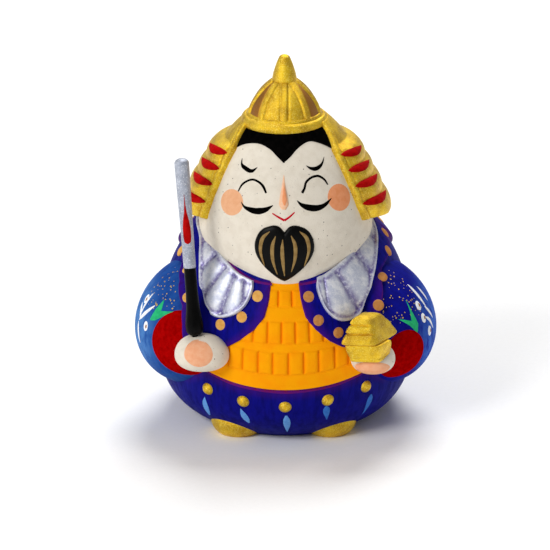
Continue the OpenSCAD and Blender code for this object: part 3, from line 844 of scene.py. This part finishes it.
def ball(centre, size, plump, lean=0.0, segments=80, rings=50):
    # a super-ellipsoid of power plump, narrower at the top by lean
    t = np.linspace(-np.pi / 2, np.pi / 2, rings)[:, None]
    s = np.linspace(0, 2 * np.pi, segments, endpoint=False)[None, :]

    def soft(v):
        return np.sign(v) * np.abs(v) ** (2 / plump)
    x, y = soft(np.cos(t)) * soft(np.cos(s)), soft(np.cos(t)) * soft(np.sin(s))
    z = soft(np.sin(t)) + 0 * s
    x = x * (1 - lean * z)
    return np.stack([centre[0] + size[0] * x, centre[1] + size[1] * y, centre[2] + size[2] * z], -1)


fist = addPiece("handRight", loft(ball(hands["fist"], hands["fistSize"], hands["plump"], hands["lean"])),
                paints["bisque"], stands=["hand_right"])
addPiece("handLeft", loft(ball(hands["palm"], hands["palmSize"], hands["plump"])),
         paints["bisque"], stands=["hand_left"])

print("making the staff")

# butt and shaft are profiles of radius and height above the foot of the staff
staff = {"foot": (-23.1, -30.2, 30.9), "length": 45.9, "grip": 17.6, "hole": 0.86, "pegR": 0.8, "peg": 5,
         "butt": [(0.85, 0.0), (1.6, 0.25), (2.15, 1.0), (2.3, 2.1), (2.25, 3.4), (2.02, 5.0), (1.76, 7),
                  (1.6, 10.5), (1.55, 14), (1.53, 17.6)],
         "shaft": [(1.58, 18.4), (1.6, 24), (1.68, 31), (1.8, 38), (1.88, 43.6)], "tip": 1.3,
         "drop": (24.0, 36.8), "dropTurn": 0.02, "dropThick": 0.13, "dropSink": 0.2, "meanR": 1.75}
axis = np.array(next(j["axis"] for j in frame["joints"] if j["name"] == "staff_lift"))
sideways = np.cross(axis, [0, 1, 0])    # points to the doll's right
sideways /= np.linalg.norm(sideways)
forward = np.cross(axis, sideways)      # points to the front


def alongStaff(profile, segments=64):   # radius and height along the staff, spun about it
    t = np.linspace(0, 2 * np.pi, segments, endpoint=False)
    r, h = np.asarray(profile, float).T
    ring = np.cos(t)[:, None] * sideways + np.sin(t)[:, None] * forward
    return loft(np.array(staff["foot"]) + h[:, None, None] * axis + r[:, None, None] * ring)


# the hole in the fist that the staff's peg stands in
deep = -staff["peg"] - 0.2
bit = alongStaff([[0, deep], [staff["hole"], deep], [staff["hole"], 3], [0, 3]])
drill = bpy.data.objects.new("drill", weldedMesh("drill", *bit))
bpy.context.scene.collection.objects.link(drill)
cut = fist.modifiers.new("hole", "BOOLEAN")
cut.object, cut.solver = drill, "EXACT"
bpy.context.view_layer.update()
drilled = bpy.data.meshes.new_from_object(fist.evaluated_get(bpy.context.evaluated_depsgraph_get()))
fist.modifiers.clear()
fist.data = drilled
bpy.data.objects.remove(drill)
print("drilled the fist", len(drilled.polygons), "faces")

grip, peg, pegR = staff["grip"], staff["peg"], staff["pegR"]
pegLine = [[0, -peg], [pegR - 0.15, -peg], [pegR, 0.2 - peg], [pegR, -0.1]]
buttLine = np.concatenate([pegLine, through(staff["butt"], 60), [[0, grip]]])
addPiece("staffGrip", alongStaff(buttLine), paints["gloss"], "staff", ["staff_grip"])
shaft, tip = np.array(staff["shaft"]), staff["tip"]
rootR, tipR = shaft[0, 0], shaft[-1, 0]
dome = [[tipR * np.cos(q), staff["length"] - tip + tip * np.sin(q)] for q in np.radians(np.arange(0, 91, 9))]
shaftLine = np.concatenate([[[0, grip], [rootR - 0.06, grip], [rootR, grip + 0.2]], through(shaft, 40), dome])
addPiece("staffBlade", alongStaff(shaftLine), paints["shaft"], "staff", ["staff_blade"])

# the red drop on the shaft, wide near its bottom end
h = np.linspace(0, 1, 50)
dropWidth = np.interp(h, [0, 0.2, 0.36, 0.5, 0.68, 0.85, 0.95, 0.985, 1],
                      [0.1, 0.3, 0.7, 1.5, 2.2, 2.3, 1.9, 1.3, 0.2])
s = np.linspace(-1, 1, 15)
dropLow, dropHigh = staff["drop"]
alongH = dropLow + (dropHigh - dropLow) * (1 - h)
theta = s[None, :] * dropWidth[:, None] / 2 / staff["meanR"] + staff["dropTurn"]
shaftR = np.interp(alongH, shaft[:, 1], shaft[:, 0])[:, None]


def onStaff(r):                  # the drop's grid at radius r about the staff
    return (np.array(staff["foot"]) + alongH[:, None, None] * axis
            + (r * np.cos(theta))[..., None] * forward - (r * np.sin(theta))[..., None] * sideways)


dropTop = shaftR + staff["dropThick"] - 0.09 * s[None, :] ** 2      # thinner at its sides
addPiece("staffDrop", slab(onStaff(dropTop), onStaff(shaftR - staff["dropSink"] + 0 * theta)),
         paints["laceRed"], "staff")

print("making the pagoda")

# Plans of the tower and of the roofs at a few heights: z, the middle's x and y, then half of
# the edge that runs across and half of the edge that runs back, each as x and y
pagoda = {"square": 7.0, "corner": 0.906,
          "tower": [(26.0, 21.5, -34.2, 3.5, -0.3, 1.5, 2.7), (28.5, 21.1, -34.8, 3.95, -0.3, 1.6, 2.6),
                    (31.0, 20.8, -35.3, 4.3, -0.3, 1.7, 2.5)],
          "roof": [(30.7, 21.3, -32.75, 4.3, -0.3, 2.8, 4.75), (38.2, 20.2, -33.0, 4.3, -0.3, 2.8, 4.75)]}


def squared(plan, stepped, plain=None, segments=240):
    # rounded four-sided rings: stepped and plain give a size for every height, and the
    # plain one is used on the right side, where the steps are worn away
    plan = np.array(plan)
    size, z = np.asarray(stepped, float).T
    mx, my, ax, ay, bx, by = [np.interp(z, plan[:, 0], plan[:, i])[:, None] for i in range(1, 7)]
    t = np.linspace(0, 2 * np.pi, segments, endpoint=False)
    n = pagoda["square"]
    r = 1 / (np.abs(np.cos(t)) ** n + np.abs(np.sin(t)) ** n) ** (1 / n) / pagoda["corner"]
    worn = smoothStep(0.45, 0.85, np.cos(t))[None, :]
    w = size[:, None] * (1 - worn) + (size if plain is None else plain)[:, None] * worn
    u, v = w * r * np.cos(t), w * r * np.sin(t)
    return loft(np.stack([mx + ax * u + bx * v, my + ay * u + by * v, z[:, None] + 0 * t], -1))


def stack(points, count):        # a curve through sizes and heights, never past the middle
    line = through(points, count)
    line[:, 0] = np.clip(line[:, 0], 0, None)
    return line


tower = stack([(0, 26.0), (0.6, 26.0), (0.93, 26.05), (0.99, 26.3), (1.0, 26.7), (0.96, 27.05),
               (0.98, 27.4), (1.0, 28.6), (1.0, 29.7), (0.98, 30.3), (0.9, 30.75), (0.5, 30.8), (0, 30.8)],
              120)
addPiece("pagodaBody", squared(pagoda["tower"], tower), paints["gold"],
         stands=["pagoda_body"])
roof = stack([(0, 30.7), (0.8, 30.7), (0.95, 30.8), (1.0, 31.15), (0.99, 31.6), (0.92, 32.4),
              (0.83, 33.15), (0.755, 33.4), (0.745, 33.55), (0.795, 33.8), (0.79, 34.15), (0.71, 34.9),
              (0.62, 35.4), (0.565, 35.55), (0.555, 35.7), (0.6, 35.95), (0.575, 36.4), (0.5, 36.9),
              (0.4, 37.3), (0.22, 37.65), (0, 37.75)], 240)
smooth = np.interp(roof[:, 1], [30.7, 30.8, 31.2, 32.4, 33.5, 34.8, 36, 36.9, 37.3, 37.65, 37.75],
                   [0.8, 0.95, 1.0, 0.93, 0.86, 0.76, 0.63, 0.5, 0.38, 0.2, 0])
smooth = np.where(roof[:, 1] < 30.85, roof[:, 0], smooth)
addPiece("pagodaRoof", squared(pagoda["roof"], roof, smooth), paints["gold"],
         stands=["pagoda_roof"])

print("making the shoes, beads and drops on the skirt")

shoes = {"left": 11.3, "right": -12.2, "y": -18.2, "z": 3.4, "radius": 7.1, "half": 4.9, "plump": 2.05}
for side, name, node in (("left", "shoeLeft", "shoe_left"), ("right", "shoeRight", "shoe_right")):
    p = ball((shoes[side], shoes["y"], shoes["z"]),
             (shoes["radius"], shoes["radius"], shoes["half"]), shoes["plump"])
    p[..., 2] = np.maximum(p[..., 2], 0.02)     # flat soles
    addPiece(name, loft(p), paints["gold"], stands=[node])

beads = {"at": [(-37.6, 14.5), (-19.6, 12.9), (-0.3, 12.0), (19.2, 13.3), (38.8, 15)], "radius": 1.65,
         "high": 1.1}
addPiece("skirtBeads", [dab(bodyForm, a, z, beads["radius"], beads["radius"], beads["high"], flat=2.2,
                            rings=12, sides=36) for a, z in beads["at"]],
         paints["gold"], stands=["skirt_studs"])
drops = {"width": [0.1, 0.8, 1.5, 1.9, 1.7, 0.5],
         "right": [[(-40, 11.8), (-41, 9.5), (-41.8, 5.8)], [(-21.2, 10.6), (-20.2, 8.6), (-18.6, 6)]],
         "middle": [[(0.8, 2.8), (0.6, 6), (0.2, 9.3)]],
         "left": [[(20.3, 7), (19.3, 9.5), (18.7, 11.6)], [(41.8, 5.8), (42.4, 9.5), (42.6, 12.2)]]}
# the drops on the doll's left, away from the light, take the darker blue as painted shade
for key, paint in (("right", "dropPale"), ("middle", "dropPale"), ("left", "dropShaded")):
    addPiece("drops" + key.capitalize(),
             [stroke(bodyForm, path, drops["width"], paintThick) for path in drops[key]],
             paints[paint])

print("tinting the hands")


def handOval(centre, size, across, up, rx, rz, lift=0.08):
    # an oval of paint on the front of a hand, found by looking at the hand from the front
    q = np.linspace(0.001, 1, 12)
    t = np.linspace(0, 2 * np.pi, 48, endpoint=False)
    x, z = across + np.outer(q, np.cos(t)) * rx, up + np.outer(q, np.sin(t)) * rz
    n = hands["plump"]
    inside = np.clip(1 - np.abs(x / size[0]) ** n - np.abs(z / size[2]) ** n, 0, 1)
    y = -size[1] * inside ** (1 / n)

    def at(grow):
        return np.stack([centre[0] + x, centre[1] + y - grow, centre[2] + z], -1)
    return loft(np.concatenate([at(lift * (1 - q ** 8)[:, None] + 0 * x), at(-0.3 + 0 * x)[::-1]]))


addPiece("palmTint", handOval(hands["fist"], hands["fistSize"], -0.8, 1.1, 3.65, 3.3),
         paints["peach"])
addPiece("fingerTint", handOval(hands["palm"], hands["palmSize"], -0.3, -0.9, 4.6, 2.2),
         paints["peach"])

print("painting the flowers on the sleeves")

flowers = {"leafRight": [([(-61, 31), (-58.6, 33.5), (-58.2, 36.4)], [0.4, 1.6, 2.2, 1.4, 0.1]),
                         ([(-61, 31), (-57, 33), (-51, 34.6)], [0.5, 2.0, 1.9, 0.9, 0.1])],
           "leafLeft": [([(57.5, 28.4), (56, 30.6), (50.4, 32.8)], [0.3, 1.6, 1.7, 0.9, 0.1]),
                        ([(57.5, 28.6), (57, 32), (57.4, 36.4)], [0.4, 2.2, 1.6, 0.5, 0.1])],
           "petals": [([(-69.5, 29), (-66, 31.5), (-61.5, 34.4)], [0.2, 1.0, 1.2, 0.9, 0.2]),
                      ([(-69.8, 28.6), (-68.8, 26), (-67.4, 23.2)], [0.2, 0.8, 0.9, 0.6, 0.2]),
                      ([(-72, 33), (-70, 31), (-68.6, 29.4)], [0.2, 0.9, 1.0, 0.7, 0.2]),
                      ([(-67, 36.4), (-68.4, 33.5), (-69.6, 30)], [0.2, 0.7, 0.8, 0.6, 0.2]),
                      ([(64.6, 39), (66, 36), (67.6, 32.4)], [0.2, 0.9, 1.0, 0.7, 0.2]),
                      ([(70, 37.5), (71, 35.4), (71.6, 33.6)], [0.2, 0.8, 0.8, 0.6, 0.2]),
                      ([(66.5, 33.2), (68.5, 31.6), (70.5, 29.4)], [0.2, 0.8, 0.9, 0.6, 0.2]),
                      ([(64.4, 31), (67, 29.5), (69, 27)], [0.2, 0.8, 0.9, 0.6, 0.2])],
           "blossoms": [(-63.1, 28.8), (-69.8, 34.4), (62.6, 34.2), (62.9, 31), (65.6, 27)]}
for key in ("leafRight", "leafLeft"):
    addPiece(key, [stroke(torsoForm, path, width, paintThick) for path, width in flowers[key]],
             paints["leaf"])
blossoms = [stroke(torsoForm, path, width, paintThick) for path, width in flowers["petals"]]
blossoms += [dab(torsoForm, a, z, 1.0, 1.3, paintThick) for a, z in flowers["blossoms"]]
addPiece("petals", blossoms, paints["petal"])
addPiece("blossomHearts",
         [dab(torsoForm, a + 0.5, z, 0.45, 0.7, 0.2, sides=16, rings=4) for a, z in flowers["blossoms"]],
         paints["seed"])

# spread: the angles, the heights and the number of grains on the right and the left sleeve
dust = {"spread": [(-70, -52, 33.5, 42.5, 70), (44, 66, 31.5, 43, 80)], "fine": 0.1, "coarse": 0.24,
        "thick": 0.08}
grains = []
for low, high, zLow, zHigh, count in dust["spread"]:
    angles, heights = luck.uniform(low, high, count), luck.uniform(zLow, zHigh, count)
    for a, z, s in zip(angles, heights, luck.uniform(dust["fine"], dust["coarse"], count)):
        grains.append(dab(torsoForm, a, z, s, s, dust["thick"], sides=6, rings=1))
addPiece("goldDust", grains, paints["gold"])

# the slab under the foot keeps its own shape and gets a clay finish
frame["nodes"]["base_slab"].data.materials.clear()
frame["nodes"]["base_slab"].data.materials.append(paints["foot"])
